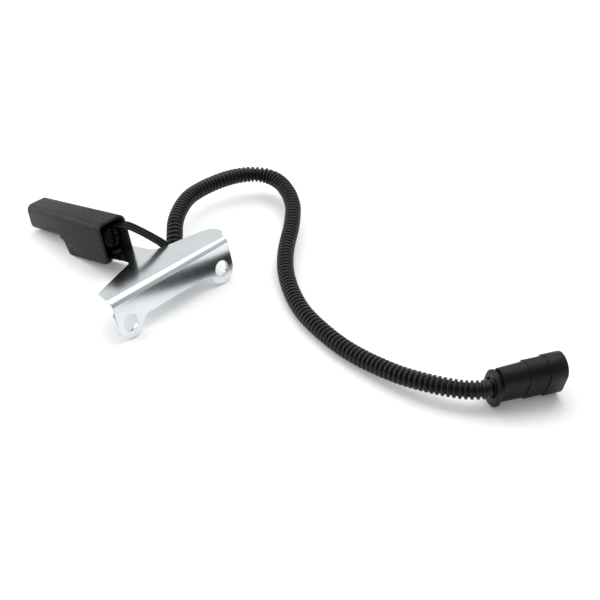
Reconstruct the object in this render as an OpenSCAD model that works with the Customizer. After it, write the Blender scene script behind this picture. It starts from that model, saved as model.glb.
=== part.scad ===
// Crankshaft position sensor: a moulded Hall sensor on a folded sheet-steel bracket,
// with three wires in a split loom and an oval three-way connector.
// It lies as it comes to rest: on the flange's two feet, the housing's heel and the connector.

/* [Bracket] */
// Thickness of the sheet steel
sheet = 2; // [1.5:0.1:3]
// Outer radius of the fold between flange and plate
fold_r = 4; // [3.5:0.1:6]
// Height of the flange, from its feet to the plate's top face
flange_h = 26; // [24:0.5:34]
// Distance between the two bolt holes
hole_pitch = 70; // [62:0.5:90]
// How far the middle of the bolt holes lies to the left of the sensor's middle
hole_offset = 3; // [0:0.5:6]
// Diameter of each bolt hole
hole_d = 9.5; // [6:0.1:11]
// Radius of the flange's feet round the bolt holes
foot_r = 9; // [8:0.1:11]
// Rise of the flange's lower edge between its feet
arch_rise = 9; // [6:0.5:12]
// Slope of the arch's two ends
arch_slope = 58; // [50:1:66]
// Radius of the arch's upper corners
arch_r = 7; // [3:0.5:9]
// Depth of the plate at its left corner
left_depth = 16.5; // [14:0.5:20]
// How far the left corner is set in from the flange's end
left_inset = 4; // [2:0.5:8]
// Radius of the left corner
left_r = 2.5; // [1:0.5:4]
// Radius of the plate's rounded right end
end_r = 9; // [7:0.5:10]
// Angle at which the right end flares out from the fold
end_flare = 45; // [40:1:60]
// Angle at which the right shoulder falls away from the tab
shoulder_fall = 13.5; // [10:0.5:18]
// Depth of the plate where its left shoulder meets the tab
left_shoulder = 31.4; // [28:0.2:35]
// Depth of the plate where its right shoulder meets the tab
right_shoulder = 29.7; // [27:0.1:34]
// Radius of the fillet between the left shoulder and the tab
left_fillet = 2.5; // [1:0.5:5]
// Radius of the fillet between the right shoulder and the tab
right_fillet = 8; // [3:0.5:9]
// How far the tab's right edge stands out past the housing's inner wall before the stop
stop_step = 1.6; // [0.5:0.1:2]
// Length of the tab inside the housing
tab_hold = 18; // [14:0.5:24]
// Radius of the tab's hidden end corners
tab_r = 3; // [1:0.5:5]

/* [Housing] */
// Distance from the flange's outer face to the housing's open end
housing_back = 50.5; // [48:0.5:56]
// Width of the housing at its open end
housing_w = 20.4; // [19:0.2:23]
// Width of the nose at its tip
tip_w = 16.9; // [16:0.1:20]
// Height of the roof above the tab's top face
roof_h = 21.3; // [20.3:0.1:26]
// Thickness of the housing's walls
wall = 1.6; // [1.2:0.1:2]
// Thickness of the floor under the tab
floor_t = 1.5; // [1.5:0.1:3]
// Length of the deep part, from the open end to the heel
deep_len = 38; // [33:0.1:42]
// Run of the sloping step between heel and nose
step_run = 2; // [1:0.5:8]
// Length of the nose past the step
nose_len = 32.8; // [29:0.1:40]
// Height of the nose
nose_h = 16.4; // [15:0.1:18]
// Angle at which the roof and the nose rise from the open end to the tip
nose_rise = 2.3; // [0:0.1:4]
// Radius of the roof's long edges
roof_r = 4.6; // [2.5:0.1:5]
// Radius of the nose's lower long edges
nose_r = 4; // [1:0.1:5]
// Radius of the heel
heel_r = 2.5; // [1:0.1:4]
// Radius of the edges round the nose's end face
tip_r = 1; // [0.4:0.1:1.4]
// Gap between the tab's edges and the housing's walls
tab_gap = 0.2; // [0.1:0.1:0.8]
// Depth of the open pocket in front of the resin
pocket_depth = 13.5; // [13:0.5:16]

/* [Rivet] */
// Diameter of the rivet's shank
rivet_d = 5; // [3:0.1:6]
// Diameter of the rivet's domed head
rivet_head_d = 11; // [8:0.1:12]
// Height of the rivet's domed head
rivet_head_h = 5; // [2:0.1:6]
// Distance of the rivet from the housing's open end
rivet_in = 6.8; // [6.2:0.1:7.2]
// How far the rivet lies to the right of the sensor's middle
rivet_side = 1; // [0:0.1:2]
// Thickness of the rivet's clenched foot under the floor
rivet_foot_h = 0.8; // [0.4:0.1:1.4]

/* [Electronics] */
// Width of the circuit board
board_w = 13; // [10:0.5:13.5]
// Length of the circuit board
board_len = 21; // [16:0.5:23]
// Thickness of the circuit board
board_t = 1.2; // [0.8:0.1:1.6]
// Length of the bias magnet along the nose
magnet_len = 4; // [3:0.1:5]
// Width and height of the bias magnet
magnet_w = 6; // [4:0.1:8]
// Thickness of the pole piece on the magnet's face
pole_t = 1; // [0.5:0.1:1.5]
// Width of the sensing chip
chip_w = 4.2; // [3:0.1:5]
// Height of the sensing chip
chip_h = 3.2; // [2:0.1:4]
// Thickness of the sensing chip
chip_t = 1.6; // [1:0.1:2]
// Length of each capacitor
capacitor_len = 3.2; // [2:0.1:4]
// Distance between the two capacitors
capacitor_pitch = 6; // [5:0.1:8]
// Width of each lead strip
lead_w = 1.1; // [0.6:0.1:1.4]
// Thickness of each lead strip
lead_t = 0.5; // [0.3:0.1:0.8]
// Length of each lead strip that lies on the board
lead_lap = 3; // [2:0.5:5]

/* [Wires and loom] */
// Diameter of each wire
wire_d = 1.6; // [1.2:0.1:1.7]
// Distance between neighbouring wires where they leave the resin
wire_pitch = 1.8; // [1.7:0.1:2.2]
// How far the middle wire leaves the resin to the right of the sensor's middle
wire_side = 3.5; // [2:0.1:4]
// Outer diameter of the loom
loom_d = 10; // [8:0.1:10.4]

/* [Connector] */
// Distance from the connector's axis to the middle of each round end of its oval
oval_run = 4.8; // [4.4:0.1:5.2]
// Length of the retainer's rim
rim_len = 3.2; // [2.6:0.1:4]
// Width of the retainer's rim
rim_w = 16.6; // [16:0.1:17.2]
// Distance from the rim's middle to the middle of each of its round ends
rim_run = 2.6; // [2:0.1:3]
// How far the rim's middle lies below the connector's axis
rim_drop = 2.2; // [1.6:0.1:2.4]
// How far the rim's bore lies below the connector's axis
bore_drop = 1.3; // [0.8:0.1:1.6]
// Bore of the retainer's rim, which the loom enters
rim_bore = 11.4; // [10.8:0.1:12]
// Thickness of the web that the loom ends against
rim_floor = 0.7; // [0.5:0.1:1]
// Width of the retainer's spigot inside the shell
spigot_w = 9.4; // [9:0.1:9.8]
// Length of the retainer's spigot
spigot_len = 3.3; // [2.5:0.1:4.5]
// Length of the shell's rear barrel
barrel_len = 14.1; // [13:0.1:16]
// Width of the shell's rear barrel
barrel_w = 13.3; // [13:0.1:14.2]
// How much narrower the rear barrel is at its rear end
barrel_taper = 0.8; // [0:0.1:1]
// Length of the shell's middle ring
collar_len = 10.9; // [9:0.1:14]
// Width of the shell's middle ring
collar_w = 14.7; // [14.5:0.1:15.5]
// Length of the shell's front ring
mouth_len = 10; // [8:0.1:12]
// Width of the shell's front ring
mouth_w = 16.1; // [15.9:0.1:17.5]
// Width of the opening in the connector's mouth
mouth_bore = 12; // [11.8:0.1:12.2]
// Depth of the connector's mouth
mouth_depth = 17; // [15:0.1:18]
// Width of the inner tower that holds the contacts
tower_w = 7.2; // [6.6:0.1:8]
// How far the tower's lock lies behind the mouth's edge
tower_inset = 1.5; // [0.5:0.1:3]
// Thickness of the shoulder that holds the contact carrier in the shell
carrier_stop = 1.5; // [1:0.1:2]
// Gap round the contact carrier where it passes through the shell
carrier_gap = 0.1; // [0.05:0.05:0.2]
// Thickness of the lock plate on the tower
lock_t = 2; // [1.2:0.1:3]
// Thickness of the rubber plug round the wires
seal_t = 5; // [4:0.1:6]
// Distance between neighbouring contacts
contact_pitch = 3.8; // [3.6:0.1:4.2]
// Diameter of each contact's socket
contact_d = 3; // [2.6:0.1:3.2]
// Bore of each contact's socket
contact_bore = 1.6; // [1:0.1:1.8]
// Gap round each contact in its cavity
contact_gap = 0.1; // [0.05:0.05:0.2]
// Length of each contact's crimped barrel
crimp_len = 4; // [3:0.1:5]
// Wall of each contact's crimped barrel
crimp_wall = 0.5; // [0.3:0.05:0.6]
// Thickness of the ring seal round the tower
ring_seal_t = 1.6; // [1:0.1:1.8]
// Length of the ring seal
ring_seal_len = 5; // [3:0.1:6]
// Width of the keyway in the mouth's wall
key_w = 3; // [2:0.1:4]
// Depth of the keyway in the mouth's wall
key_depth = 1; // [0.5:0.1:1.4]

/* [Hidden] */
$fn = 48;

// Cuts run past the faces that they open by this much
past = 1;
// Straight pieces that a rounded corner, and each round end of an oval, is drawn with
corner_steps = 8;
oval_steps = 20;

// Levels of the housing, measured from the flange's feet
plate_low = flange_h - sheet;
floor_low = plate_low - floor_t;
roof_high = flange_h + roof_h;
roof_low = roof_high - wall;
nose_low = roof_high - nose_h;
inner_w = housing_w - 2 * wall;
inner_r = max(roof_r - wall, 0.5);

// Stations along the sensor, measured from the flange's outer face
heel_y = housing_back + deep_len;
step_top_y = heel_y + step_run;
nose_y = step_top_y + nose_len;
tip_y = nose_y - wall;
resin_y = housing_back + pocket_depth;
pocket_end_y = heel_y - wall;
rivet_y = housing_back + rivet_in;
tab_end_y = housing_back + tab_hold;
// Angle at which each side of the housing leans in towards the tip
draft = atan((housing_w - tip_w) / 2 / (nose_y - housing_back));

// Corners of the rising nose, as stations and levels. The part leans forward until its heel
// touches the surface that its feet stand on
step_top = risen(step_top_y, nose_low);
tip_low = risen(nose_y, nose_low);
tip_high = risen(nose_y, roof_high);
tip_mid = risen(nose_y - tip_r, roof_high - tip_r);
step_angle = atan2(step_top.y - floor_low, step_top.x - heel_y);
heel_mid_y = heel_y - heel_r * tan(step_angle / 2);
heel_arm = [heel_mid_y - sheet, floor_low + heel_r];
rest_tilt = acos(heel_r / norm(heel_arm)) - atan2(heel_arm.x, heel_arm.y);
rest_lift = sheet * sin(rest_tilt);
rest_mid = (tip_mid.x * cos(rest_tilt) + tip_mid.y * sin(rest_tilt) + tip_r) / 2;

// Outline of the flange and the plate
hole_x = [for (side = [-1, 1]) side * hole_pitch / 2 - hole_offset];
flange_left = hole_x[0] - foot_r;
flange_right = hole_x[1] + foot_r;
fold_y = fold_r;
tab_half = inner_w / 2 - tab_hold * tan(draft) - tab_gap;
stop_x = inner_w / 2 + stop_step;
stop_y = housing_back - tab_gap;
// The right end's flare meets the right shoulder's line at this distance from the fold's end
end_drop = (flange_right - stop_x) * tan(shoulder_fall);
end_run = (right_shoulder - fold_y - end_drop) / (sin(end_flare) + cos(end_flare) * tan(shoulder_fall));

// Electronics in the nose, from the end wall backwards
core_z = (nose_low + wall + roof_low) / 2;
chip_y = tip_y - chip_t;
pole_y = chip_y - pole_t;
magnet_y = pole_y - magnet_len;
board_front_y = magnet_y;
board_back_y = board_front_y - board_len;
board_top = core_z + board_t / 2;
capacitor_w = capacitor_len / 2;
lead_z = board_top + lead_t / 2;

// Connector, from the rim's outer edge to the mouth
loom_stop = rim_len - rim_floor;
collar_at = rim_len + barrel_len;
mouth_at = collar_at + collar_len;
connector_len = mouth_at + mouth_len;
spigot_end = rim_len + spigot_len;
seal_end = spigot_end + seal_t;
carrier_seat = seal_end + carrier_stop;
socket_floor = connector_len - mouth_depth;
lock_front = connector_len - tower_inset;
tower_end = lock_front - lock_t;
cavity_d = contact_d + 2 * contact_gap;
crimp_d = wire_d + 2 * crimp_wall;
// Straight length at each end of the tapered rear barrel
barrel_edge = 0.5;

// How the connector lies: which way its mouth points, and how far its oval leans from upright
connector_turn = -29.7;
connector_lean = 16;
connector_high = max(
    oval_run * cos(connector_lean) + mouth_w / 2,
    (rim_run + rim_drop) * cos(connector_lean) + rim_w / 2
);
connector_at = laid([45, -176.3, connector_high]);

// Hand-laid route of each wire from the resin to the loom's open end
POWER_ROUTE = [
    [2.6, 63.8, 26.6], [4, 58.8, 27.6], [5.6, 54.2, 28], [6.8, 49.4, 27.7], [8.2, 44.4, 26.3],
    [11.1, 38.6, 24], [15.4, 35, 22.4], [20.4, 33.7, 21.2], [23.9, 33.1, 19.2]
];
SIGNAL_ROUTE = [
    [4.4, 63.8, 26.8], [5.8, 58.8, 28.2], [7.4, 54.3, 28.8], [8.6, 49.6, 28.4], [10, 44.8, 27],
    [12.7, 39.7, 24.5], [16.4, 36.8, 21.5], [20.2, 35.1, 19.6], [22.9, 34.4, 18.3]
];
GROUND_ROUTE = [
    [6.2, 63.8, 27], [7.5, 58.8, 28.8], [9.2, 54.4, 29.5], [10.4, 49.8, 29.1], [11.8, 45.3, 27.7],
    [14.4, 40.9, 25.2], [17.3, 38.5, 21.6], [20, 37.3, 18.4]
];
WIRE_ROUTES = [for (route = [POWER_ROUTE, SIGNAL_ROUTE, GROUND_ROUTE]) [for (p = route) laid(p)]];

// Hand-laid route of the loom from its open end to the connector
LOOM_ROUTE = [for (p = [
    [26.2, 36.3, 17], [32.6, 42.5, 17], [41.7, 51.1, 17], [53.6, 59.2, 17], [65.2, 64.7, 17],
    [76, 67.1, 16.5], [87, 67.6, 16], [97.3, 66.1, 16], [105.9, 64.2, 15.5], [112.2, 61.6, 15],
    [117.6, 58, 14.5], [121.8, 52.4, 14], [123.6, 45.7, 13.5], [122.6, 38.3, 13], [119.6, 31.1, 12.5],
    [115.8, 24.6, 12], [109.3, 16.3, 11], [100.4, 8.5, 10], [90.6, 1.2, 9], [78.6, -6.8, 8],
    [68.1, -14.8, 7], [58.6, -23.8, 6], [49.6, -34.8, 5.5], [41.6, -46.9, 5.3], [35.1, -60, 5.3],
    [30.2, -76.1, 5.3], [26.9, -92.1, 5.5], [25.5, -106, 6], [25.2, -119.4, 7], [25.8, -133, 8.2],
    [28, -145.4, 9.4], [31.3, -156.5, 10.3], [36, -166.4, 10.8]
]) laid(p)];
// Straight run of each wire out of the resin and into the loom
wire_lead = 4;
wire_end_lead = 2;
// Straight run of the loom where it enters the connector's rim
loom_lead = 7;

function unit(v) = v / norm(v);

// A point of the sensor and bracket, carried to where it rests
function rest_point(p) = [
    p.x,
    p.y * cos(rest_tilt) + p.z * sin(rest_tilt) - rest_mid,
    p.z * cos(rest_tilt) - p.y * sin(rest_tilt) + rest_lift
];

// A hand-laid point, whose length along the part is measured from the flange's lower outer edge
function laid(p) = [p.x, p.y - rest_mid, p.z];

// A station and level of the nose, and a point of it, turned up with the roof about the open end's top edge
function risen(y, z) =
    let (ahead = y - housing_back, above = z - roof_high)
    [
        housing_back + ahead * cos(nose_rise) - above * sin(nose_rise),
        roof_high + ahead * sin(nose_rise) + above * cos(nose_rise)
    ];
function risen_point(p) = let (q = risen(p.y, p.z)) [p.x, q.x, q.y];

// A point of the connector, at a depth from its rim and a drop below its axis
function connector_point(depth, drop = 0) =
    connector_at
    + depth * [cos(connector_turn), sin(connector_turn), 0]
    + drop * sin(connector_lean) * [-sin(connector_turn), cos(connector_turn), 0]
    - [0, 0, drop * cos(connector_lean)];

// Points of the arc that rounds corner b, given as [x, y, radius], between its neighbours a and c
function corner_arc(a, b, c) =
    let (p = [b.x, b.y], r = b.z)
    let (u = unit([a.x, a.y] - p), v = unit([c.x, c.y] - p))
    let (half = acos(u * v) / 2, mid = p + unit(u + v) * r / sin(half))
    let (from = p + u * r / tan(half) - mid, to = p + v * r / tan(half) - mid)
    let (start = atan2(from.y, from.x), turn = atan2(to.y, to.x) - start)
    let (sweep = turn > 180 ? turn - 360 : turn < -180 ? turn + 360 : turn)
    [for (i = [0:corner_steps]) let (q = start + sweep * i / corner_steps) mid + r * [cos(q), sin(q)]];

// Closed outline through corners [x, y, radius], each rounded by its own radius
function outline(corners) = [
    for (i = [0:len(corners) - 1])
        let (n = len(corners), b = corners[i])
        each b.z == 0 ? [[b.x, b.y]] : corner_arc(corners[(i + n - 1) % n], b, corners[(i + 1) % n])
];

// Oval of a width and a half run between its round ends, with its long axis along X
function oval(w, run) = [
    for (side = [1, -1], i = [0:oval_steps])
        let (q = 180 * i / oval_steps - 90)
        side * [run + w / 2 * cos(q), w / 2 * sin(q)]
];

// Direction of a route at its point i, and the ring of points round it there
function heading(route, i) =
    unit(route[min(i + 1, len(route) - 1)] - route[max(i - 1, 0)]);
function ring(route, i, d, sides) =
    let (ahead = heading(route, i), across = unit(cross(ahead, [0, 0, 1])), up = cross(across, ahead))
    [for (k = [0:sides - 1]) let (q = 360 * k / sides) route[i] + d / 2 * (cos(q) * across + sin(q) * up)];

function wire_x(k) = wire_side + (k - 1) * wire_pitch;
// The wires end side by side on the loom's open face
function wire_end(k) =
    let (ahead = heading(LOOM_ROUTE, 0), left = unit(cross([0, 0, 1], ahead)))
    LOOM_ROUTE[0] + (k - 1) * wire_pitch * left;
function wire_route(k) = concat(
    [for (out = [0, wire_lead]) rest_point(risen_point([wire_x(k), resin_y - out, lead_z]))],
    WIRE_ROUTES[k],
    [for (back = [wire_end_lead, 0]) wire_end(k) - back * heading(LOOM_ROUTE, 0)]
);
loom_route = concat(
    LOOM_ROUTE,
    [for (back = [loom_lead, 0]) connector_point(loom_stop - back, bore_drop)]
);

module tube(route, d, sides) {
    n = len(route);
    side_faces = [
        for (i = [0:n - 2], k = [0:sides - 1])
            let (a = i * sides + k, b = i * sides + (k + 1) % sides)
            each [[a, b, a + sides], [b, b + sides, a + sides]]
    ];
    polyhedron(
        points = [for (i = [0:n - 1]) each ring(route, i, d, sides)],
        faces = concat(
            [[for (k = [sides - 1:-1:0]) k]],
            [[for (k = [0:sides - 1]) (n - 1) * sides + k]],
            side_faces
        )
    );
}

// Carries the sensor and bracket from their own upright frame to where they rest
module at_rest() {
    translate([0, -rest_mid, rest_lift]) rotate([-rest_tilt, 0, 0]) children();
}

// Turns the nose and what lies in it up with the roof, about the open end's top edge
module at_rise() {
    translate([0, housing_back, roof_high]) rotate([nose_rise, 0, 0])
        translate([0, -housing_back, -roof_high]) children();
}

// Carries a piece drawn along +Z to the connector's axis
module at_connector() {
    translate(connector_at) rotate([0, 90, connector_turn]) rotate(connector_lean) children();
}

// A length of an oval bar, between two depths from the connector's rim
module oval_bar(w, from, to, run = oval_run) {
    translate([0, 0, from]) linear_extrude(to - from) polygon(oval(w, run));
}

// Extrudes a front view along Y, and a side view along X
module along_y(from, to) {
    translate([0, to, 0]) rotate([90, 0, 0]) linear_extrude(to - from) children();
}
module along_x(from, to) {
    translate([from, 0, 0]) rotate([90, 0, 90]) linear_extrude(to - from) children();
}

module flange_outline() {
    run = foot_r * tan(arch_slope / 2);
    climb = arch_rise / tan(arch_slope);
    polygon(outline([
        [flange_left, flange_h - fold_r, 0],
        [flange_left, 0, foot_r],
        [hole_x[0] + run, 0, foot_r],
        [hole_x[0] + run + climb, arch_rise, arch_r],
        [hole_x[1] - run - climb, arch_rise, arch_r],
        [hole_x[1] - run, 0, foot_r],
        [flange_right, 0, foot_r],
        [flange_right, flange_h - fold_r, 0]
    ]));
}

module plate_outline() {
    polygon(outline([
        [flange_left, fold_y, 0],
        [flange_right, fold_y, 0],
        [flange_right + end_run * cos(end_flare), fold_y + end_run * sin(end_flare), end_r],
        [stop_x, right_shoulder, right_fillet],
        [stop_x, stop_y, 0],
        [tab_half, stop_y, 0],
        [tab_half, tab_end_y, tab_r],
        [-tab_half, tab_end_y, tab_r],
        [-tab_half, left_shoulder, left_fillet],
        [flange_left + left_inset, left_depth, left_r]
    ]));
}

module fold_section() {
    translate([fold_r, flange_h - fold_r]) intersection() {
        difference() {
            circle(fold_r);
            circle(fold_r - sheet);
        }
        translate([-fold_r, 0]) square(fold_r);
    }
}

module mounting_bracket() {
    color("gainsboro") at_rest() difference() {
        union() {
            along_y(0, sheet) flange_outline();
            along_x(flange_left, flange_right) fold_section();
            translate([0, 0, plate_low]) linear_extrude(sheet) plate_outline();
        }
        for (x = hole_x) {
            translate([x, -past, foot_r]) rotate([-90, 0, 0]) cylinder(d = hole_d, h = sheet + 2 * past);
        }
        rivet_shank();
    }
}

module rivet_shank() {
    translate([rivet_side, rivet_y, floor_low - past]) cylinder(d = rivet_d, h = roof_h);
}

module housing_side() {
    polygon(outline([
        [housing_back, floor_low, tip_r],
        [heel_y, floor_low, heel_r],
        [step_top.x, step_top.y, heel_r],
        [tip_low.x, tip_low.y, tip_r],
        [tip_high.x, tip_high.y, tip_r],
        [housing_back, roof_high, 0]
    ]));
}

// A length of the housing's section between two stations. Each side is drawn straight and then
// turned in by the draft about the open end's corner.
module drafted_bar(w, low, high, low_r, high_r, from, to) {
    intersection() {
        for_side(-1, w) along_y(from - past, to + past)
            polygon(outline([[-w / 2, low, low_r], [w, low, 0], [w, high, 0], [-w / 2, high, high_r]]));
        for_side(1, w) along_y(from - past, to + past)
            polygon(outline([[-w, low, 0], [w / 2, low, low_r], [w / 2, high, high_r], [-w, high, 0]]));
        translate([-w, from, low - past]) cube([2 * w, to - from, high - low + 2 * past]);
    }
}

module for_side(side, w) {
    translate([side * w / 2, housing_back, 0]) rotate(side * draft)
        translate([-side * w / 2, -housing_back, 0]) children();
}

// Inside of the housing, from a station in the open pocket to the nose's end wall
module housing_cavity(from) {
    intersection() {
        at_rise() drafted_bar(inner_w, floor_low - floor_t, roof_low, 0, inner_r, from, heel_y);
        translate([-housing_w, 0, plate_low]) cube([2 * housing_w, pocket_end_y, roof_high]);
    }
    at_rise()
        drafted_bar(inner_w, nose_low + wall, roof_low, inner_r, inner_r, pocket_end_y - 2 * past, tip_y);
}

module sensor_housing() {
    color([0.11, 0.11, 0.11]) at_rest() difference() {
        intersection() {
            along_x(-housing_w, housing_w) housing_side();
            at_rise() {
                drafted_bar(
                    housing_w, 0, roof_high, 0, roof_r, housing_back - 2 * past, step_top_y + heel_r
                );
                drafted_bar(housing_w, nose_low, roof_high, nose_r, roof_r, pocket_end_y, nose_y + past);
            }
        }
        housing_cavity(housing_back - 2 * past);
        rivet_shank();
    }
}

module housing_rivet() {
    foot_d = (rivet_d + rivet_head_d) / 2;
    // The dome is the cap of a sphere
    dome_r = (pow(rivet_head_d / 2, 2) + pow(rivet_head_h, 2)) / (2 * rivet_head_h);
    color([0.05, 0.05, 0.05]) at_rest() translate([rivet_side, rivet_y, 0]) {
        translate([0, 0, floor_low - rivet_foot_h]) cylinder(d = foot_d, h = rivet_foot_h);
        translate([0, 0, floor_low]) cylinder(d = rivet_d, h = flange_h - floor_low);
        translate([0, 0, flange_h]) intersection() {
            translate([0, 0, rivet_head_h - dome_r]) sphere(dome_r);
            cylinder(d = rivet_head_d, h = rivet_head_h + past);
        }
    }
}

// Solids of the electronics before the nose's rise, which the resin closes round
module chip_solid() {
    translate([-chip_w / 2, chip_y, core_z - chip_h / 2]) cube([chip_w, chip_t, chip_h]);
}
module pole_solid() {
    translate([-magnet_w / 2, pole_y, core_z - magnet_w / 2]) cube([magnet_w, pole_t, magnet_w]);
}
module magnet_solid() {
    translate([-magnet_w / 2, magnet_y, core_z - magnet_w / 2]) cube([magnet_w, magnet_len, magnet_w]);
}
module board_solid() {
    translate([-board_w / 2, board_back_y, core_z - board_t / 2]) cube([board_w, board_len, board_t]);
}
module capacitor_solids() {
    for (side = [-1, 1]) {
        translate([side * capacitor_pitch / 2, (board_front_y + board_back_y) / 2, board_top])
            translate([-capacitor_w / 2, 0, 0]) cube([capacitor_w, capacitor_len, capacitor_w]);
    }
}
module lead_solids() {
    for (k = [0:2]) {
        translate([wire_x(k) - lead_w / 2, resin_y, board_top])
            cube([lead_w, board_back_y + lead_lap - resin_y, lead_t]);
    }
}

module potting_fill() {
    color([0.08, 0.08, 0.09]) at_rest() difference() {
        housing_cavity(resin_y);
        translate([0, 0, plate_low]) linear_extrude(sheet) plate_outline();
        at_rise() {
            chip_solid();
            pole_solid();
            magnet_solid();
            board_solid();
            capacitor_solids();
            lead_solids();
        }
    }
}

module circuit_board() {
    color("darkgreen") at_rest() at_rise() board_solid();
}
module hall_chip() {
    color([0.15, 0.15, 0.15]) at_rest() at_rise() chip_solid();
}
module bias_magnet() {
    color("dimgray") at_rest() at_rise() magnet_solid();
}
module pole_piece() {
    color("silver") at_rest() at_rise() pole_solid();
}
module chip_capacitors() {
    color("tan") at_rest() at_rise() capacitor_solids();
}
module lead_frame() {
    color("goldenrod") at_rest() at_rise() lead_solids();
}

// One wire: its run from the resin to the loom, and its tail from the loom's other end into its contact
module wire(k) {
    color([0.06, 0.06, 0.06]) {
        tube(wire_route(k), wire_d, 8);
        at_connector() contact_place(k)
            translate([0, 0, loom_stop]) cylinder(d = wire_d, h = seal_end + crimp_len - loom_stop);
    }
}
module power_wire() {
    wire(0);
}
module signal_wire() {
    wire(1);
}
module ground_wire() {
    wire(2);
}

module split_loom() {
    color([0.05, 0.05, 0.05]) tube(loom_route, loom_d, 10);
}

module contact_place(k) {
    translate([(k - 1) * contact_pitch, 0, 0]) children();
}

module connector_shell() {
    color([0.07, 0.07, 0.07]) at_connector() difference() {
        union() {
            hull() {
                translate([barrel_taper / 2, 0, 0])
                    oval_bar(barrel_w - barrel_taper, rim_len, rim_len + barrel_edge);
                oval_bar(barrel_w, collar_at - barrel_edge, collar_at);
            }
            oval_bar(collar_w, collar_at, mouth_at);
            oval_bar(mouth_w, mouth_at, connector_len);
        }
        oval_bar(spigot_w, rim_len - past, carrier_seat);
        oval_bar(tower_w + 2 * carrier_gap, seal_end, socket_floor + past);
        oval_bar(mouth_bore, socket_floor, connector_len + past);
        translate([-key_w / 2, 0, mouth_at])
            cube([key_w, mouth_bore / 2 + key_depth, mouth_len + past]);
    }
}

module contact_carrier() {
    color([0.09, 0.09, 0.1]) at_connector() difference() {
        union() {
            oval_bar(spigot_w, seal_end, carrier_seat);
            oval_bar(tower_w, seal_end, tower_end);
        }
        for (k = [0:2]) {
            contact_place(k) translate([0, 0, seal_end - past])
                cylinder(d = cavity_d, h = tower_end - seal_end + 2 * past);
        }
    }
}

module seal_retainer() {
    edge = rim_len / 4;
    color([0.06, 0.06, 0.06]) at_connector() difference() {
        union() {
            translate([rim_drop, 0, 0]) hull() {
                oval_bar(rim_w - 2 * edge, 0, rim_len, rim_run);
                oval_bar(rim_w, edge, rim_len - edge, rim_run);
            }
            oval_bar(tower_w, loom_stop, spigot_end);
            oval_bar(spigot_w, rim_len, spigot_end);
        }
        translate([bore_drop, 0, -past]) cylinder(d = rim_bore, h = loom_stop + past);
        for (k = [0:2]) {
            contact_place(k) translate([0, 0, loom_stop - rim_floor / 2])
                cylinder(d = wire_d + 2 * contact_gap, h = spigot_end + past);
        }
    }
}

module cable_seal() {
    color([0.25, 0.27, 0.3]) at_connector() difference() {
        oval_bar(spigot_w, spigot_end, seal_end);
        for (k = [0:2]) {
            contact_place(k) translate([0, 0, spigot_end - past])
                cylinder(d = wire_d, h = seal_t + 2 * past);
        }
    }
}

// Ring seal with a thick lip at each end
module interface_seal() {
    lip = ring_seal_len / 3;
    ring_end = socket_floor + ring_seal_len;
    color([0.55, 0.2, 0.1]) at_connector() difference() {
        union() {
            oval_bar(tower_w + ring_seal_t, socket_floor, ring_end);
            oval_bar(tower_w + 2 * ring_seal_t, socket_floor, socket_floor + lip);
            oval_bar(tower_w + 2 * ring_seal_t, ring_end - lip, ring_end);
        }
        oval_bar(tower_w, socket_floor - past, ring_end + past);
    }
}

module terminal_lock() {
    color([0.3, 0.3, 0.32]) at_connector() difference() {
        oval_bar(tower_w, tower_end, lock_front);
        for (k = [0:2]) {
            contact_place(k) translate([0, 0, tower_end - past])
                cylinder(d = contact_bore, h = lock_t + 2 * past);
        }
    }
}

// One contact: a crimped barrel on the wire's tail, and a round socket that ends against the lock
module contact(k) {
    color("goldenrod") at_connector() contact_place(k) difference() {
        union() {
            translate([0, 0, seal_end]) cylinder(d = crimp_d, h = crimp_len);
            translate([0, 0, seal_end + crimp_len])
                cylinder(d = contact_d, h = tower_end - seal_end - crimp_len);
        }
        translate([0, 0, seal_end - past]) cylinder(d = wire_d, h = crimp_len + past);
        translate([0, 0, seal_end + crimp_len + past])
            cylinder(d = contact_bore, h = tower_end - seal_end - crimp_len);
    }
}
module power_terminal() {
    contact(0);
}
module signal_terminal() {
    contact(1);
}
module ground_terminal() {
    contact(2);
}

mounting_bracket();
sensor_housing();
housing_rivet();
potting_fill();
circuit_board();
hall_chip();
bias_magnet();
pole_piece();
chip_capacitors();
lead_frame();
power_wire();
signal_wire();
ground_wire();
split_loom();
connector_shell();
contact_carrier();
seal_retainer();
cable_seal();
interface_seal();
terminal_lock();
power_terminal();
signal_terminal();
ground_terminal();
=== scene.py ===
import math
import bmesh
import bpy
from mathutils import Matrix, Vector


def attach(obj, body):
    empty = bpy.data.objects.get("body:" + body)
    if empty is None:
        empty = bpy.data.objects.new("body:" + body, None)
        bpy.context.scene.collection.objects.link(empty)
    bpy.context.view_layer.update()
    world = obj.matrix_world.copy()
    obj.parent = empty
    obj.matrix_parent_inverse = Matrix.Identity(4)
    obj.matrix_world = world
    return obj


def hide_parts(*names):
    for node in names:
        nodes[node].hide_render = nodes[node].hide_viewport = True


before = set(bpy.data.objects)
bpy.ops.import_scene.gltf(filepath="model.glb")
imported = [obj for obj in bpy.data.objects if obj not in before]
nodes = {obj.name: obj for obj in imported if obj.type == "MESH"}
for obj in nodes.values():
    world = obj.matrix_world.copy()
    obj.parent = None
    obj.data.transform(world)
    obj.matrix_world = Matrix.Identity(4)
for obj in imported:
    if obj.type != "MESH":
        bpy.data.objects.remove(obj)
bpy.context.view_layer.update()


# Mounting bracket: 2 mm steel sheet, blanked and pierced, folded once along its length and zinc
# plated bright. The blank is drawn flat in millimetres, with its edges rounded by tumbling, and
# then bent round the fold.
sheet = 2.0
fold_r = 4.0
flange_h = 26.0
foot_r = 9.0
hole_r = 4.75
hole_x = (-38.0, 32.0)
flange_left = -47.0
flange_right = 41.0
arch_rise = 9.0
arch_slope = math.radians(58)
arch_r = 7.0
fold_run = math.pi / 2 * (fold_r - sheet / 2)
fold_low = flange_h - fold_r
fold_steps = 20
plate_corner = (55.53, 18.53)
plate_corner_r = 9.0
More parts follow.
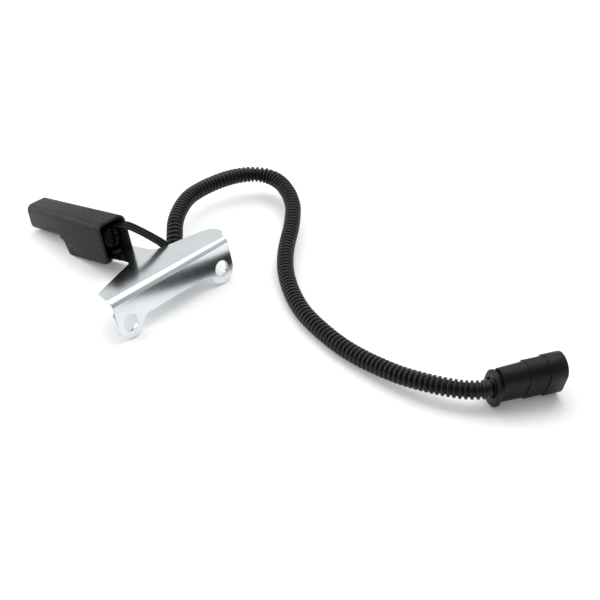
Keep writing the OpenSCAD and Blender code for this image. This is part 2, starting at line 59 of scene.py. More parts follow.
tab_root = (10.2, 29.7)
tab_root_r = 8.0
tab_shoulder = 50.3
tab_half = 7.9
tab_end = 68.5
tab_end_r = 3.0
left_root = 31.4
left_corner = (-43.0, 16.5)
left_r = 2.5
rivet_hole_r = 2.5
rivet_side = 1.0
rivet_y = 57.3
tumbled_edge = 0.28
flat_match = 0.99995
rest_tilt = math.radians(14.8438)
rest_mid = 65.9006
rest_lift = 0.5124


def at_rest(x, y, z):
    """A point of the upright sensor in millimetres, carried to where it rests, in metres."""
    c, s = math.cos(rest_tilt), math.sin(rest_tilt)
    return Vector((x, y * c + z * s - rest_mid, z * c - y * s + rest_lift)) / 1000


def rounded_outline(corners, steps=12):
    """Closed outline through corners (x, y, radius), each rounded by its own radius."""
    outline = []
    for i, (x, y, r) in enumerate(corners):
        corner = Vector((x, y))
        if r == 0:
            outline.append(corner)
            continue
        u = (Vector(corners[i - 1][:2]) - corner).normalized()
        v = (Vector(corners[(i + 1) % len(corners)][:2]) - corner).normalized()
        half = u.angle(v) / 2
        mid = corner + (u + v).normalized() * (r / math.sin(half))
        first = corner + u * (r / math.tan(half)) - mid
        last = corner + v * (r / math.tan(half)) - mid
        start = math.atan2(first.y, first.x)
        sweep = (math.atan2(last.y, last.x) - start + math.pi) % (2 * math.pi) - math.pi
        for k in range(steps + 1):
            a = start + sweep * k / steps
            outline.append(mid + r * Vector((math.cos(a), math.sin(a))))
    return outline


def punched_circle(x, y, r, steps=48):
    """Closed outline of a round hole."""
    return [Vector((x + r * math.cos(2 * math.pi * k / steps),
                    y + r * math.sin(2 * math.pi * k / steps))) for k in range(steps)]


def flat_blank(outlines, thick, edge):
    """A flat blank with holes and rounded edges, lying on the middle of its thickness."""
    curve = bpy.data.curves.new("blank", "CURVE")
    curve.dimensions = "2D"
    curve.fill_mode = "BOTH"
    curve.extrude = thick / 2 - edge
    curve.bevel_depth = edge
    curve.bevel_resolution = 2
    curve.offset = -edge
    for outline in outlines:
        spline = curve.splines.new("POLY")
        spline.points.add(len(outline) - 1)
        for point, place in zip(spline.points, outline):
            point.co = (place.x, place.y, 0, 1)
        spline.use_cyclic_u = True
    holder = bpy.data.objects.new("blank", curve)
    bpy.context.scene.collection.objects.link(holder)
    graph = bpy.context.evaluated_depsgraph_get()
    cut = bpy.data.meshes.new_from_object(holder.evaluated_get(graph))
    mesh = bmesh.new()
    mesh.from_mesh(cut)
    bpy.data.objects.remove(holder)
    bpy.data.curves.remove(curve)
    bpy.data.meshes.remove(cut)
    bmesh.ops.remove_doubles(mesh, verts=mesh.verts, dist=1e-4)
    return mesh


def made_piece(name, mesh, material):
    """A smooth-shaded object from a mesh under construction."""
    data = bpy.data.meshes.new(name)
    for face in mesh.faces:
        face.smooth = True
    mesh.to_mesh(data)
    mesh.free()
    data.materials.append(material)
    piece = bpy.data.objects.new(name, data)
    bpy.context.scene.collection.objects.link(piece)
    return piece


def finish_group(name, inputs, outputs):
    """A shader node group with named sockets, and its two end nodes."""
    group = bpy.data.node_groups.new(name, "ShaderNodeTree")
    for label, kind, value in inputs:
        socket = group.interface.new_socket(label, in_out="INPUT", socket_type=kind)
        socket.default_value = value
    for label, kind in outputs:
        group.interface.new_socket(label, in_out="OUTPUT", socket_type=kind)
    return group, group.nodes.new("NodeGroupInput"), group.nodes.new("NodeGroupOutput")


def linked(tree, kind, values=(), **settings):
    """A new node with its settings, and its inputs set to values or linked from sockets."""
    node = tree.nodes.new(kind)
    for key, value in settings.items():
        setattr(node, key, value)
    for key, value in dict(values).items():
        if isinstance(value, bpy.types.NodeSocket):
            tree.links.new(value, node.inputs[key])
        else:
            node.inputs[key].default_value = value
    return node


NUMBER = "NodeSocketFloat"
COLOUR = "NodeSocketColor"
MIX_A, MIX_B, MIX_OUT = 6, 7, 2

rolled_zinc, zinc_in, zinc_out = finish_group(
    "rolled_zinc",
    [("Colour", COLOUR, (0.8, 0.8, 0.8, 1)), ("Tint", COLOUR, (0.7, 0.75, 0.8, 1)),
     ("Roughness", NUMBER, 0.16), ("Streaks", NUMBER, 0.12)],
    [("Colour", COLOUR), ("Roughness", NUMBER), ("Height", NUMBER)])
place = linked(rolled_zinc, "ShaderNodeTexCoord")
drawn = linked(rolled_zinc, "ShaderNodeMapping",
               {"Vector": place.outputs["Object"], "Scale": (1, 0.045, 0.045)})
streak = linked(rolled_zinc, "ShaderNodeTexNoise",
                {"Vector": drawn.outputs["Vector"], "Scale": 2600.0, "Detail": 4.0})
cloud = linked(rolled_zinc, "ShaderNodeTexNoise",
               {"Vector": place.outputs["Object"], "Scale": 55.0, "Detail": 3.0})
spangle = linked(rolled_zinc, "ShaderNodeTexVoronoi",
                 {"Vector": place.outputs["Object"], "Scale": 420.0})
speck = linked(rolled_zinc, "ShaderNodeMath", {0: spangle.outputs["Color"], 1: 0.25},
               operation="MULTIPLY")
toned = linked(rolled_zinc, "ShaderNodeMath", {0: cloud.outputs["Fac"], 1: speck.outputs[0]},
               operation="ADD")
zinc_mix = linked(rolled_zinc, "ShaderNodeMix",
                  {"Factor": toned.outputs[0], MIX_A: zinc_in.outputs["Colour"],
                   MIX_B: zinc_in.outputs["Tint"]}, data_type="RGBA")
rubbed = linked(rolled_zinc, "ShaderNodeMath",
                {0: streak.outputs["Fac"], 1: zinc_in.outputs["Streaks"],
                 2: zinc_in.outputs["Roughness"]}, operation="MULTIPLY_ADD")
rolled_zinc.links.new(zinc_mix.outputs[MIX_OUT], zinc_out.inputs["Colour"])
rolled_zinc.links.new(rubbed.outputs[0], zinc_out.inputs["Roughness"])
rolled_zinc.links.new(streak.outputs["Fac"], zinc_out.inputs["Height"])

zinc_plate = bpy.data.materials.new("zinc_plate")
zinc_plate.use_nodes = True
tree = zinc_plate.node_tree
shader = tree.nodes["Principled BSDF"]
shader.inputs["Metallic"].default_value = 1.0
skin = linked(tree, "ShaderNodeGroup", node_tree=rolled_zinc)
skin.inputs["Colour"].default_value = (0.75, 0.785, 0.8, 1)
skin.inputs["Tint"].default_value = (0.64, 0.69, 0.715, 1)
skin.inputs["Roughness"].default_value = 0.08
skin.inputs["Streaks"].default_value = 0.13
relief = linked(tree, "ShaderNodeBump",
                {"Height": skin.outputs["Height"], "Strength": 0.09, "Distance": 0.0002})
tree.links.new(skin.outputs["Colour"], shader.inputs["Base Color"])
tree.links.new(skin.outputs["Roughness"], shader.inputs["Roughness"])
tree.links.new(relief.outputs["Normal"], shader.inputs["Normal"])

foot_run = foot_r * math.tan(arch_slope / 2)
arch_climb = arch_rise / math.tan(arch_slope)
plate_at = fold_low + fold_run - fold_r
blank_outline = rounded_outline([
    (flange_left, fold_low, 0), (flange_left, 0, foot_r), (hole_x[0] + foot_run, 0, foot_r),
    (hole_x[0] + foot_run + arch_climb, arch_rise, arch_r),
    (hole_x[1] - foot_run - arch_climb, arch_rise, arch_r),
    (hole_x[1] - foot_run, 0, foot_r), (flange_right, 0, foot_r), (flange_right, fold_low, 0),
    (flange_right, plate_at + fold_r, 0),
    (plate_corner[0], plate_at + plate_corner[1], plate_corner_r),
    (tab_root[0], plate_at + tab_root[1], tab_root_r), (tab_root[0], plate_at + tab_shoulder, 0),
    (tab_half, plate_at + tab_shoulder, 0), (tab_half, plate_at + tab_end, tab_end_r),
    (-tab_half, plate_at + tab_end, tab_end_r), (-tab_half, plate_at + left_root, left_r),
    (left_corner[0], plate_at + left_corner[1], left_r), (flange_left, plate_at + fold_r, 0)])
blank = flat_blank([blank_outline, punched_circle(hole_x[0], foot_r, hole_r),
                    punched_circle(hole_x[1], foot_r, hole_r),
                    punched_circle(rivet_side, plate_at + rivet_y, rivet_hole_r)],
                   sheet, tumbled_edge)
for k in range(fold_steps + 1):
    bmesh.ops.bisect_plane(blank, geom=blank.verts[:] + blank.edges[:] + blank.faces[:],
                           plane_co=(0, fold_low + fold_run * k / fold_steps, 0),
                           plane_no=(0, 1, 0))
for vert in blank.verts:
    x, s, w = vert.co
    if s <= fold_low:
        vert.co = at_rest(x, sheet / 2 - w, s)
    elif s >= fold_low + fold_run:
        vert.co = at_rest(x, s - plate_at, flange_h - sheet / 2 + w)
    else:
        a = math.pi / 2 * (s - fold_low) / fold_run
        r = fold_r - sheet / 2 + w
        vert.co = at_rest(x, fold_r - r * math.cos(a), fold_low + r * math.sin(a))
bracket = made_piece("folded_bracket", blank, zinc_plate)
plate_up = Vector((0, math.sin(rest_tilt), math.cos(rest_tilt)))
flange_out = Vector((0, -math.cos(rest_tilt), math.sin(rest_tilt)))
for face in bracket.data.polygons:
    along = max(abs(face.normal.dot(plate_up)), abs(face.normal.dot(flange_out)))
    face.use_smooth = along < flat_match
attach(bracket, "root")
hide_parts("mounting_bracket")


# Housing: glass-filled black plastic, injection moulded in one piece with a stepped nose and an
# open rear end. It is pushed over the bracket's tab. Its skin is satin, with fine grain from the
# mould.
moulded_skin, skin_in, skin_out = finish_group(
    "moulded_skin",
    [("Colour", COLOUR, (0.02, 0.02, 0.02, 1)), ("Spread", NUMBER, 0.3),
     ("Grain", NUMBER, 3000.0), ("Roughness", NUMBER, 0.4), ("Patchiness", NUMBER, 0.15)],
    [("Colour", COLOUR), ("Roughness", NUMBER), ("Height", NUMBER)])
place = linked(moulded_skin, "ShaderNodeTexCoord")
fine = linked(moulded_skin, "ShaderNodeTexNoise",
              {"Vector": place.outputs["Object"], "Scale": skin_in.outputs["Grain"], "Detail": 3.0})
broad = linked(moulded_skin, "ShaderNodeTexNoise",
               {"Vector": place.outputs["Object"], "Scale": 130.0, "Detail": 5.0})
swing = linked(moulded_skin, "ShaderNodeMath", {0: broad.outputs["Fac"], 1: 0.5},
               operation="SUBTRACT")
shade = linked(moulded_skin, "ShaderNodeMath",
               {0: swing.outputs[0], 1: skin_in.outputs["Spread"], 2: 1.0},
               operation="MULTIPLY_ADD")
tinted = linked(moulded_skin, "ShaderNodeVectorMath",
                {0: skin_in.outputs["Colour"], "Scale": shade.outputs[0]}, operation="SCALE")
uneven = linked(moulded_skin, "ShaderNodeMath",
                {0: swing.outputs[0], 1: skin_in.outputs["Patchiness"],
                 2: skin_in.outputs["Roughness"]}, operation="MULTIPLY_ADD")
moulded_skin.links.new(tinted.outputs[0], skin_out.inputs["Colour"])
moulded_skin.links.new(uneven.outputs[0], skin_out.inputs["Roughness"])
moulded_skin.links.new(fine.outputs["Fac"], skin_out.inputs["Height"])

edge_rub, rub_in, rub_out = finish_group(
    "edge_rub",
    [("Colour", COLOUR, (0.02, 0.02, 0.02, 1)), ("Rubbed Colour", COLOUR, (0.1, 0.1, 0.1, 1)),
     ("Amount", NUMBER, 0.5)],
    [("Colour", COLOUR)])
form = linked(edge_rub, "ShaderNodeNewGeometry")
place = linked(edge_rub, "ShaderNodeTexCoord")
ridge = linked(edge_rub, "ShaderNodeMapRange",
               {"Value": form.outputs["Pointiness"], "From Min": 0.52, "From Max": 0.62})
broken = linked(edge_rub, "ShaderNodeTexNoise",
                {"Vector": place.outputs["Object"], "Scale": 700.0, "Detail": 3.0})
patch = linked(edge_rub, "ShaderNodeMapRange",
               {"Value": broken.outputs["Fac"], "From Min": 0.35, "From Max": 0.7})
worn = linked(edge_rub, "ShaderNodeMath", {0: ridge.outputs[0], 1: patch.outputs[0]},
              operation="MULTIPLY")
amount = linked(edge_rub, "ShaderNodeMath", {0: worn.outputs[0], 1: rub_in.outputs["Amount"]},
                operation="MULTIPLY")
rub_mix = linked(edge_rub, "ShaderNodeMix",
                 {"Factor": amount.outputs[0], MIX_A: rub_in.outputs["Colour"],
                  MIX_B: rub_in.outputs["Rubbed Colour"]}, data_type="RGBA")
edge_rub.links.new(rub_mix.outputs[MIX_OUT], rub_out.inputs["Colour"])


def skinned(name, colour, rough, spread=0.3, grain=3000.0, patchy=0.15, bump=0.1, rub=None,
            metallic=0.0, ior=1.5):
    """A material with the moulded skin's grain, and rubbed edges where a rub colour is given."""
    material = bpy.data.materials.new(name)
    material.use_nodes = True
    tree = material.node_tree
    shader = tree.nodes["Principled BSDF"]
    shader.inputs["Metallic"].default_value = metallic
    shader.inputs["IOR"].default_value = ior
    skin = linked(tree, "ShaderNodeGroup", node_tree=moulded_skin)
    for label, value in (("Colour", (*colour, 1)), ("Spread", spread), ("Grain", grain),
                         ("Roughness", rough), ("Patchiness", patchy)):
        skin.inputs[label].default_value = value
    colour_out = skin.outputs["Colour"]
    if rub:
        worn = linked(tree, "ShaderNodeGroup", node_tree=edge_rub)
        worn.inputs["Rubbed Colour"].default_value = (*rub, 1)
        tree.links.new(colour_out, worn.inputs["Colour"])
        colour_out = worn.outputs["Colour"]
    relief = linked(tree, "ShaderNodeBump",
                    {"Height": skin.outputs["Height"], "Strength": bump, "Distance": 0.0002})
    tree.links.new(colour_out, shader.inputs["Base Color"])
    tree.links.new(skin.outputs["Roughness"], shader.inputs["Roughness"])
    tree.links.new(relief.outputs["Normal"], shader.inputs["Normal"])
    return material


smooth_sides = bpy.data.node_groups.new("smooth_sides", "GeometryNodeTree")
smooth_sides.interface.new_socket("Mesh", in_out="INPUT", socket_type="NodeSocketGeometry")
smooth_sides.interface.new_socket("Mesh", in_out="OUTPUT", socket_type="NodeSocketGeometry")
bend = linked(smooth_sides, "GeometryNodeInputMeshEdgeAngle")
crease = linked(smooth_sides, "FunctionNodeCompare",
                {0: bend.outputs["Unsigned Angle"], 1: math.radians(28)}, operation="GREATER_THAN")
given = linked(smooth_sides, "NodeGroupInput")
faces = linked(smooth_sides, "GeometryNodeSetShadeSmooth", {"Geometry": given.outputs[0]},
               domain="FACE")
edges = linked(smooth_sides, "GeometryNodeSetShadeSmooth",
               {"Geometry": faces.outputs[0], "Selection": crease.outputs[0],
                "Shade Smooth": False}, domain="EDGE")
linked(smooth_sides, "NodeGroupOutput", {0: edges.outputs[0]})


def soften(node, edge, material):
    """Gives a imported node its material, small rounded edges and smooth shading."""
    node.data.materials.clear()
    node.data.materials.append(material)
    weld = node.modifiers.new("weld", "WELD")
    weld.merge_threshold = 0.00001
    plane = node.modifiers.new("plane", "DECIMATE")
    plane.decimate_type = "DISSOLVE"
    plane.angle_limit = math.radians(0.6)
    if edge:
        bevel = node.modifiers.new("edge", "BEVEL")
        bevel.width = edge
        bevel.segments = 2
        bevel.limit_method = "ANGLE"
        bevel.angle_limit = math.radians(30)
    shading = node.modifiers.new("shading", "NODES")
    shading.node_group = smooth_sides


soften(nodes["sensor_housing"], 0.0004,
       skinned("housing_plastic", (0.0215, 0.018, 0.0208), 0.42, spread=0.12, grain=2400.0,
               patchy=0.06, bump=0.16, rub=(0.06, 0.054, 0.058), ior=1.19))


# Rivet: a black plastic rivet through floor and tab, with a low glossy head inside the open end
# and a clenched foot under the floor. It is round, so one profile turns into all of it.
def turned(name, profile, place, material, sides=64):
    """A body of revolution from (radius, height) points, each carried by place(x, y, z)."""
    mesh = bmesh.new()
    rings = []
    for r, z in profile:
        turns = [2 * math.pi * k / sides for k in range(sides if r else 1)]
        rings.append([mesh.verts.new(place(r * math.cos(a), r * math.sin(a), z)) for a in turns])
    for low, high in zip(rings, rings[1:]):
        for k in range(sides):
            corners = [low[k % len(low)], low[(k + 1) % len(low)],
                       high[(k + 1) % len(high)], high[k % len(high)]]
            mesh.faces.new(list(dict.fromkeys(corners)))
    bmesh.ops.recalc_face_normals(mesh, faces=mesh.faces)
    return made_piece(name, mesh, material)


rivet_profile = [
    (0, 21.7), (3.6, 21.7), (4.0, 22.0), (4.0, 22.5), (rivet_hole_r, 22.5), (rivet_hole_r, 26.0),
    (5.4, 26.0), (5.5, 26.08), (5.5, 26.4), (5.3, 26.75), (4.6, 27.05), (3.2, 27.3), (1.6, 27.42),
    (0, 27.45)]
rivet = turned("domed_rivet", rivet_profile,
               lambda x, y, z: at_rest(x + rivet_side, y + rivet_y, z),
               skinned("rivet_gloss", (0.003, 0.003, 0.003), 0.13, spread=0.2, grain=900.0,
                       patchy=0.1, bump=0.02, ior=1.3))
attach(rivet, "root")
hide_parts("housing_rivet")


# Resin: black two-part resin, poured into the housing over the electronics and cured. A round
# glossy plug of it, with a rounded rim, stands out of the free face above the rivet.
soften(nodes["potting_fill"], 0,
       skinned("cast_resin", (0.002, 0.0016, 0.002), 0.3, grain=260.0, patchy=0.3, bump=0.4,
               ior=1.25))
plug_r = 6.9
plug_rim = 2.4
plug_run = 9.4
plug_x = 1.5
plug_back = 63.6
plug_z = 34.5
rim_steps = 10
crown = ((2.6, 0.16), (1.3, 0.24), (0, 0.27))
plug_profile = [(0, 0), (plug_r, 0)]
for a in (math.pi / 2 * k / rim_steps for k in range(rim_steps + 1)):
    plug_profile.append((plug_r - plug_rim * (1 - math.cos(a)),
                         plug_run - plug_rim * (1 - math.sin(a))))
plug_profile += [(r, plug_run + rise) for r, rise in crown]
plug = turned("resin_plug", plug_profile,
              lambda x, y, z: at_rest(x + plug_x, plug_back - z, y + plug_z),
              skinned("plug_gloss", (0.002, 0.0015, 0.002), 0.11, spread=0.3, grain=500.0,
                      patchy=0.12, bump=0.05, ior=1.26))
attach(plug, "root")


# Electronics: a small board with its chip, magnet, pole piece, capacitors and lead strips,
# soldered together, slid into the nose and sealed under the resin.
soften(nodes["circuit_board"], 0.0001,
       skinned("board_mask", (0.02, 0.12, 0.05), 0.35, spread=0.4, grain=1800.0))
soften(nodes["hall_chip"], 0.0001,
       skinned("chip_epoxy", (0.025, 0.025, 0.027), 0.5, grain=5000.0, bump=0.2))
soften(nodes["bias_magnet"], 0.0002,
       skinned("sintered_magnet", (0.16, 0.16, 0.17), 0.5, spread=0.6, grain=4000.0, bump=0.3,
               metallic=0.8))
soften(nodes["pole_piece"], 0.0001,
       skinned("ground_steel", (0.5, 0.5, 0.52), 0.3, grain=6000.0, metallic=1.0))
soften(nodes["chip_capacitors"], 0.0001,
       skinned("fired_ceramic", (0.42, 0.3, 0.17), 0.4, spread=0.4, grain=3500.0))
contact_brass = skinned("contact_brass", (0.72, 0.52, 0.24), 0.26, spread=0.3, grain=5000.0,
                        metallic=1.0, rub=(0.85, 0.68, 0.36))
soften(nodes["lead_frame"], 0.00005, contact_brass)


# Wires: three fine copper wires with a black extruded sheath, soldered to the lead strips under
# the resin. They leave it side by side, go down behind the plate's edge and turn into the loom's
# open end.
def laid(points):
    """Points at rest in millimetres, with y from the flange's lower outer edge, in metres."""
    return [Vector((x, y - rest_mid, z)) / 1000 for x, y, z in points]


def smooth_run(points, step, parts=40):
    """Points about one step apart on a smooth curve through the given ones, and its length."""
    ends = [2 * points[0] - points[1]] + points + [2 * points[-1] - points[-2]]
    dense = []
    for a, b, c, d in zip(ends, ends[1:], ends[2:], ends[3:]):
        for i in range(parts):
            t = i / parts
            dense.append(0.5 * (2 * b + (c - a) * t + (2 * a - 5 * b + 4 * c - d) * t * t
                                + (3 * b - a - 3 * c + d) * t ** 3))
    dense.append(points[-1].copy())
    walked = [0.0]
    for a, b in zip(dense, dense[1:]):
        walked.append(walked[-1] + (b - a).length)
    count = max(2, round(walked[-1] / step))
    run, at = [], 0
    for i in range(count + 1):
        goal = walked[-1] * i / count
        while at < len(dense) - 2 and walked[at + 1] < goal:
            at += 1
        share = (goal - walked[at]) / max(walked[at + 1] - walked[at], 1e-12)
        run.append(dense[at].lerp(dense[at + 1], min(max(share, 0), 1)))
    return run, walked[-1]


def frames_along(run):
    """The two directions across a run at each of its points, without twist."""
    heads = [(run[min(i + 1, len(run) - 1)] - run[max(i - 1, 0)]).normalized()
             for i in range(len(run))]
    side = heads[0].cross(Vector((0, 0, 1))).normalized()
    across = []
    for head in heads:
        side = (side - head * side.dot(head)).normalized()
        across.append((side, side.cross(head).normalized()))
    return across


def swept(name, rings, sides, material):
    """A closed tube through rings (centre, side, up, radius, groove), sunk along one line."""
    mesh = bmesh.new()
    loops = []
    for centre, side, up, radius, groove in rings:
        loop = []
        for k in range(sides):
            a = 2 * math.pi * k / sides
            r = radius - (groove if k == 0 else 0)
            loop.append(mesh.verts.new(centre + r * (math.cos(a) * side + math.sin(a) * up)))
        loops.append(loop)
    for near, far in zip(loops, loops[1:]):
        for k in range(sides):
            mesh.faces.new((near[k], near[(k + 1) % sides], far[(k + 1) % sides], far[k]))
    mesh.faces.new(loops[0][::-1])
    mesh.faces.new(loops[-1])
    bmesh.ops.recalc_face_normals(mesh, faces=mesh.faces)
    return made_piece(name, mesh, material)


loom_points = laid([
    (26.2, 36.3, 9.6), (32.6, 42.5, 14), (41.7, 51.1, 16.6), (53.6, 59.2, 17), (65.2, 64.7, 17),
    (76, 67.1, 16.5), (87, 67.6, 16), (97.3, 66.1, 16), (105.9, 64.2, 15.5), (112.2, 61.6, 15),
    (117.6, 58, 14.5), (121.8, 52.4, 14), (123.6, 45.7, 13.5), (122.6, 38.3, 13),
    (119.6, 31.1, 12.5), (115.8, 24.6, 12), (109.3, 16.3, 11), (100.4, 8.5, 10), (90.6, 1.2, 9),
    (78.6, -6.8, 8), (68.1, -14.8, 7), (58.6, -23.8, 6), (49.6, -34.8, 5.5), (41.6, -46.9, 5.3),
    (35.1, -60, 5.3), (30.2, -76.1, 5.3), (26.9, -92.1, 5.5), (25.5, -106, 6), (25.2, -119.4, 7),
    (25.8, -133, 8.2), (28, -145.4, 9.4), (31.3, -156.5, 10.3), (36, -166.4, 10.8)])
loom_head = (loom_points[1] - loom_points[0]).normalized()
loom_left = Vector((0, 0, 1)).cross(loom_head).normalized()
wire_pitch = 0.0018
wire_side = 3.5
sheath_d = 0.00176
wire_step = 0.0005
wire_sides = 16
wire_roots = ((64.284, 40.498), (60.287, 40.337))
loom_reach = (-0.002, 0.0, 0.006)
wire_sheath = skinned("wire_sheath", (0.005, 0.0046, 0.0048), 0.42, grain=2600.0, bump=0.08,
                      rub=(0.02, 0.019, 0.02), ior=1.36)
wire_routes = {
    "power_wire": [(2.6, 63.8, 26.6), (4.1, 58.8, 27.4), (5.9, 54.2, 27.8), (9.2, 48, 25.5),
                   (12.6, 41.9, 22.2), (15.7, 36, 18.4), (16.9, 34.7, 14.6), (18.4, 33.2, 10.8),
                   (21.2, 32.4, 8.4)],
    "signal_wire": [(4.4, 63.8, 26.8), (5.8, 58.8, 27.9), (7.4, 54.3, 28.5), (10.8, 48, 26),
                    (14.4, 41.7, 22.5), (17.6, 35.6, 18.6), (18.7, 34.4, 14.8),
                    (19.6, 33.8, 11.2), (21.4, 33.6, 8.8)],
    "ground_wire": [(6.2, 63.8, 27), (7.5, 58.8, 28.4), (8.9, 54.4, 29.2), (12.4, 48, 26.5),
                    (16.2, 41.5, 22.8), (19.5, 35.2, 18.8), (20.6, 34.1, 15), (20.8, 34.2, 11.6),
                    (21.6, 34.8, 9.2)]}
for k, (name, route) in enumerate(wire_routes.items()):
    wire_x = wire_side + (k - 1) * wire_pitch * 1000
    start = [at_rest(wire_x, y, z) for y, z in wire_roots]
    ends = [loom_points[0] + (k - 1) * wire_pitch * loom_left + back * loom_head
            for back in loom_reach]
    wire_run, wire_length = smooth_run(start + laid(route) + ends, wire_step)
    wire_rings = [(centre, side, up, sheath_d / 2, 0)
                  for centre, (side, up) in zip(wire_run, frames_along(wire_run))]
    wire = swept(name + "_sheath", wire_rings, wire_sides, wire_sheath)
    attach(wire, "root")
    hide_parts(name)


# Loom: a split corrugated tube of blown black plastic, pushed over the wires. It ends open behind
# the edge of the bracket's plate, and its other end sits in the bore of the connector's rear cap.
turn = math.radians(-29.7)
lean = math.radians(16)
connector_at = laid([(45, -176.3, 12.9141)])[0]
connector_ahead = Vector((math.cos(turn), math.sin(turn), 0))
connector_down = (math.sin(lean) * Vector((-math.sin(turn), math.cos(turn), 0))
                  - math.cos(lean) * Vector((0, 0, 1)))
bore_drop = 0.0013
bore_centre = connector_at + bore_drop * connector_down
loom_stop = 0.0025
straight_end = 0.007
loom_points += [bore_centre + (loom_stop - back) * connector_ahead for back in (straight_end, 0)]
loom_step = 0.00035
loom_run, loom_length = smooth_run(loom_points, loom_step)
loom_across = frames_along(loom_run)
rib_pitch = 0.00285
rib_count = round(loom_length / rib_pitch)
crest = 0.00497
crest_fall = 0.00025
root = 0.0038
bore = 0.0032
bore_rings = 200
split_groove = 0.0006
loom_sides = 40
rib_profile = ((0.0, root), (0.3, root), (0.38, crest - crest_fall), (0.46, crest), (0.82, crest),
               (0.9, crest - crest_fall), (0.98, root))


def loom_station(share):
    """Centre and directions across the loom at a share of its length."""
    at = min(max(share, 0), 1) * (len(loom_run) - 1)
    i = min(int(at), len(loom_run) - 2)
    f = at - i
    side = loom_across[i][0].lerp(loom_across[i + 1][0], f).normalized()
    up = loom_across[i][1].lerp(loom_across[i + 1][1], f).normalized()
    return loom_run[i].lerp(loom_run[i + 1], f), side, up


seam = math.radians(205)
loom_rings = [(k / bore_rings, bore, 0) for k in range(bore_rings, -1, -1)]
for i in range(rib_count):
    for part, radius in rib_profile:
        loom_rings.append(((i + part) / rib_count, radius, split_groove))
loom_rings.append((1, root, split_groove))
placed = []
for share, radius, groove in loom_rings:
    centre, side, up = loom_station(share)
    placed.append((centre, math.cos(seam) * side + math.sin(seam) * up,
                   math.cos(seam) * up - math.sin(seam) * side, radius, groove))
loom = swept("corrugated_loom", placed, loom_sides,
             skinned("loom_plastic", (0.003, 0.0024, 0.0029), 0.33, spread=0.5, grain=2200.0,
                     bump=0.12, rub=(0.02, 0.018, 0.0195), ior=1.34))
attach(loom, "root")
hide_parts("split_loom")
terminal_nodes = ("power_terminal", "signal_terminal", "ground_terminal")


# Connector: a stepped oval shell and a rimmed rear cap, moulded in black plastic and snapped
# together. Inside are a contact carrier, rubber seals, a lock plate and three brass contacts.
connector_plastic = skinned("connector_plastic", (0.0036, 0.0026, 0.0035), 0.42, spread=0.5,
                            grain=2400.0, bump=0.14, rub=(0.025, 0.022, 0.0245), ior=1.28)
soften(nodes["connector_shell"], 0.0004, connector_plastic)
soften(nodes["seal_retainer"], 0.0003, connector_plastic)
soften(nodes["contact_carrier"], 0.0002,
       skinned("carrier_plastic", (0.02, 0.02, 0.022), 0.42, grain=2600.0))
soften(nodes["cable_seal"], 0.0002,
       skinned("plug_rubber", (0.07, 0.08, 0.1), 0.55, spread=0.4, grain=1600.0, bump=0.2))
soften(nodes["interface_seal"], 0.0002,
       skinned("ring_rubber", (0.36, 0.08, 0.03), 0.5, spread=0.4, grain=1600.0, bump=0.2))
soften(nodes["terminal_lock"], 0.0002,
       skinned("lock_plastic", (0.08, 0.08, 0.09), 0.42, grain=2600.0))
for name in terminal_nodes:
    soften(nodes[name], 0.0001, contact_brass)


# Floor, light and camera: a white table under two broad soft lamps and a pale surround, seen from
# the photograph's side.
bpy.ops.mesh.primitive_plane_add(size=6)
floor = bpy.context.object
floor.name = "floor"
floor_white = bpy.data.materials.new("floor_white")
floor_white.use_nodes = True
tree = floor_white.node_tree
tree.nodes.remove(tree.nodes["Principled BSDF"])
path = linked(tree, "ShaderNodeLightPath")
seen = linked(tree, "ShaderNodeMath",
              {0: path.outputs["Is Camera Ray"], 1: path.outputs["Is Glossy Ray"]},
              operation="MAXIMUM")
shown = linked(tree, "ShaderNodeMath",
               {0: seen.outputs[0], 1: path.outputs["Is Transmission Ray"]}, operation="MAXIMUM")
lift = linked(tree, "ShaderNodeMath", {0: shown.outputs[0], 1: 0.1}, operation="MULTIPLY")
card = linked(tree, "ShaderNodeBsdfDiffuse", {"Color": (0.88, 0.88, 0.88, 1)})
glow = linked(tree, "ShaderNodeEmission", {"Strength": lift.outputs[0]})
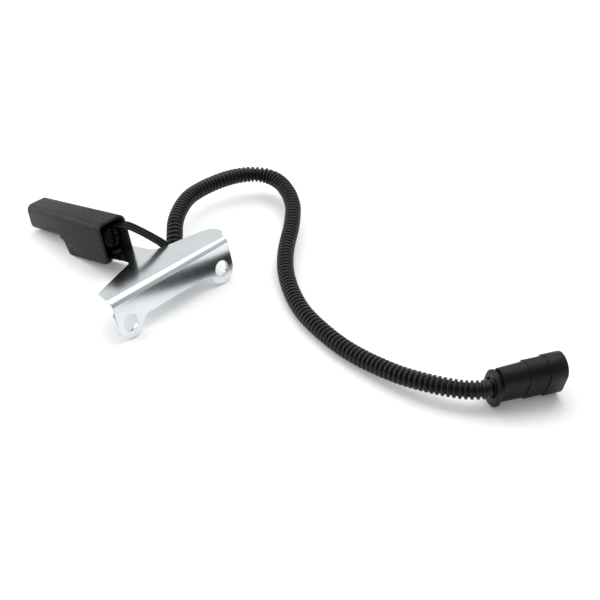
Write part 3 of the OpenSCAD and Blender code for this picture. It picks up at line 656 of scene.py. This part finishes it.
both = linked(tree, "ShaderNodeAddShader", {0: card.outputs[0], 1: glow.outputs[0]})
tree.links.new(both.outputs[0], tree.nodes["Material Output"].inputs["Surface"])
floor.data.materials.append(floor_white)

world = bpy.data.worlds.new("studio")
bpy.context.scene.world = world
world.use_nodes = True
tree = world.node_tree
direction = linked(tree, "ShaderNodeTexCoord")
brightest = (0.6, 0.62, 0.45)
away = linked(tree, "ShaderNodeVectorMath", {0: direction.outputs["Generated"], 1: brightest},
              operation="DOT_PRODUCT")
surround = linked(tree, "ShaderNodeMapRange",
                  {"Value": away.outputs["Value"], "From Min": -0.8, "From Max": 0.9,
                   "To Min": 0.3, "To Max": 0.9})
tree.nodes["Background"].inputs["Color"].default_value = (1, 1, 1, 1)
tree.links.new(surround.outputs[0], tree.nodes["Background"].inputs["Strength"])

lamp_aim = Vector((0.02, -0.1, 0))
for name, place, width, height, power in (("overhead_lamp", (0.4, 0.1, 1.0), 1.3, 1.1, 8.4),
                                          ("back_lamp", (-0.6, 1.0, 0.66), 1.2, 0.8, 10.5)):
    lamp = bpy.data.objects.new(name, bpy.data.lights.new(name, "AREA"))
    bpy.context.scene.collection.objects.link(lamp)
    lamp.data.shape = "RECTANGLE"
    lamp.data.size = width
    lamp.data.size_y = height
    lamp.data.energy = power
    lamp.location = place
    lamp.rotation_euler = (lamp_aim - lamp.location).to_track_quat("-Z", "Y").to_euler()
bpy.context.scene.view_settings.view_transform = "Standard"

camera = bpy.data.objects.new("camera", bpy.data.cameras.new("camera"))
bpy.context.scene.collection.objects.link(camera)
camera.data.lens = 69.11
camera.data.sensor_width = 36
camera_at = (-0.3521, -0.464327, 0.389)
camera_turn = math.radians(-48.5)
camera_tip = math.radians(54)
camera_roll = math.radians(0.36)
camera.matrix_world = (Matrix.Translation(camera_at) @ Matrix.Rotation(camera_turn, 4, "Z")
                       @ Matrix.Rotation(camera_tip, 4, "X")
                       @ Matrix.Rotation(camera_roll, 4, "Z"))
bpy.context.scene.camera = camera
